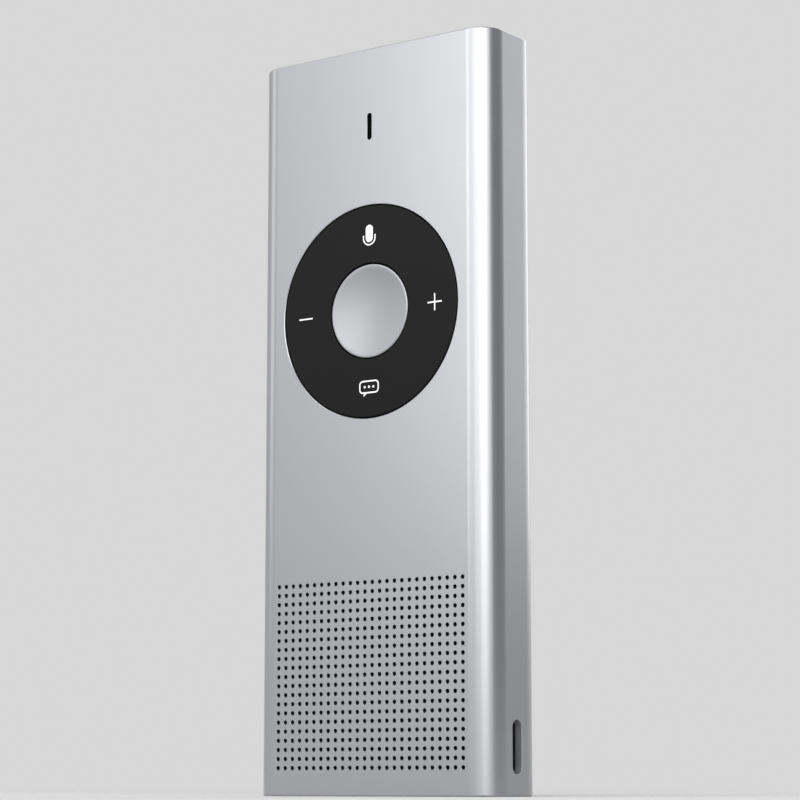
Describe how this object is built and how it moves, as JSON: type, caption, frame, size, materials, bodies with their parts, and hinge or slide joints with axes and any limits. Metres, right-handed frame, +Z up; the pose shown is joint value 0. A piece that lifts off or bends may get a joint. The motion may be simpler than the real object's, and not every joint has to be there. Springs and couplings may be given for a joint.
{
  "type": "handheld translator",
  "caption": "Upright aluminium handheld translator with a four-way ring key, a dished centre button, a speaker grille and a side charging port.",
  "frame": {"origin": "middle of the bottom face that the translator stands on", "axes": "+X to the right as seen from the front, towards the side with the charging port; the front with the keys looks along -Y; +Z up along the length"},
  "size_m": [0.0466, 0.014, 0.12],
  "materials": {
    "anodised_aluminium": "bead-blasted and silver-anodised",
    "cap_plastic": "moulded, silver-grey",
    "key_plastic": "moulded, fine satin",
    "symbol_plastic": "second-shot white",
    "inner_plastic": "moulded, glass-filled",
    "stainless_steel": "stamped or turned",
    "circuit_board": "glass epoxy with green solder mask",
    "chip_epoxy": "moulded black epoxy",
    "capacitor_ceramic": "sintered",
    "gold_plating": "gold-plated contacts",
    "enamelled_copper": "wound and bonded",
    "flex_film": "polyimide film with copper",
    "silicone": "moulded silicone",
    "foam": "die-cut closed-cell foam",
    "acoustic_mesh": "woven black polyester",
    "battery_foil": "laminated aluminium pouch",
    "adhesive_tape": "double-sided tape",
    "red_insulation": "extruded",
    "black_insulation": "extruded",
    "magnet_nickel": "nickel-plated",
    "speaker_film": "pressed film",
    "surround_rubber": "pressed thin rubber"
  },
  "bodies": {
    "casing": {"body_sleeve": "anodised_aluminium", "top_cap": "cap_plastic", "bottom_cap": "cap_plastic", "inner_chassis": "inner_plastic", "key_frame": "inner_plastic", "speaker_box": "inner_plastic", "speaker_basket": "inner_plastic", "usb_tongue": "inner_plastic", "cable_sockets": "inner_plastic", "battery_socket": "inner_plastic", "battery_plug": "inner_plastic", "cap_screws": "stainless_steel", "board_screws": "stainless_steel", "ring_domes": "stainless_steel", "centre_dome": "stainless_steel", "usb_shell": "stainless_steel", "processor_shield": "stainless_steel", "radio_shield": "stainless_steel", "speaker_yoke": "stainless_steel", "speaker_pole_plate": "stainless_steel", "mic_capsule": "stainless_steel", "aerial_plug": "stainless_steel", "main_board": "circuit_board", "key_board": "circuit_board", "mic_board": "circuit_board", "battery_board": "circuit_board", "processor_chip": "chip_epoxy", "memory_chip": "chip_epoxy", "radio_chip": "chip_epoxy", "charger_chip": "chip_epoxy", "charge_inductor": "chip_epoxy", "board_capacitors": "capacitor_ceramic", "usb_contacts": "gold_plating", "speaker_contacts": "gold_plating", "key_cable": "flex_film", "mic_cable": "flex_film", "aerial": "flex_film", "mic_boot": "silicone", "speaker_gasket": "foam", "speaker_mesh": "acoustic_mesh", "mic_mesh": "acoustic_mesh", "battery_cell": "battery_foil", "battery_tape": "adhesive_tape", "battery_lead_red": "red_insulation", "battery_lead_black": "black_insulation", "aerial_cable": "black_insulation", "speaker_magnet": "magnet_nickel", "speaker_side_magnets": "magnet_nickel", "speaker_surround": "surround_rubber"},
    "ring_gimbal": {"gimbal_ring": "stainless_steel"},
    "ring": {"ring_key": "key_plastic", "microphone_symbol": "symbol_plastic", "minus_symbol": "symbol_plastic", "plus_symbol": "symbol_plastic", "speech_symbol": "symbol_plastic", "ring_feet": "silicone"},
    "center_button": {"button_cap": "anodised_aluminium", "button_plunger": "inner_plastic"},
    "speaker_diaphragm": {"speaker_cone": "speaker_film", "speaker_coil": "enamelled_copper"}
  },
  "joints": [
    {"name": "ring_rock_up_down", "type": "hinge", "parent": "casing", "child": "ring_gimbal", "pos_m": [0, -0.0036, 0.0767], "axis": [1, 0, 0], "range_deg": [-0.7, 0.7], "stiffness_Nm_per_rad": 0.1, "deforming": ["ring_domes"]},
    {"name": "ring_rock_left_right", "type": "hinge", "parent": "ring_gimbal", "child": "ring", "pos_m": [0, -0.0036, 0.0767], "axis": [0, 0, 1], "range_deg": [-0.7, 0.7], "stiffness_Nm_per_rad": 0.1, "deforming": ["ring_domes"]},
    {"name": "center_button_press", "type": "slide", "parent": "casing", "child": "center_button", "axis": [0, 1, 0], "range_m": [0, 0.0003], "stiffness_N_per_m": 600, "deforming": ["centre_dome"]},
    {"name": "speaker_diaphragm_travel", "type": "slide", "parent": "casing", "child": "speaker_diaphragm", "axis": [0, 1, 0], "range_m": [-0.00015, 0.00015], "stiffness_N_per_m": 200, "deforming": ["speaker_surround"]}
  ]
}
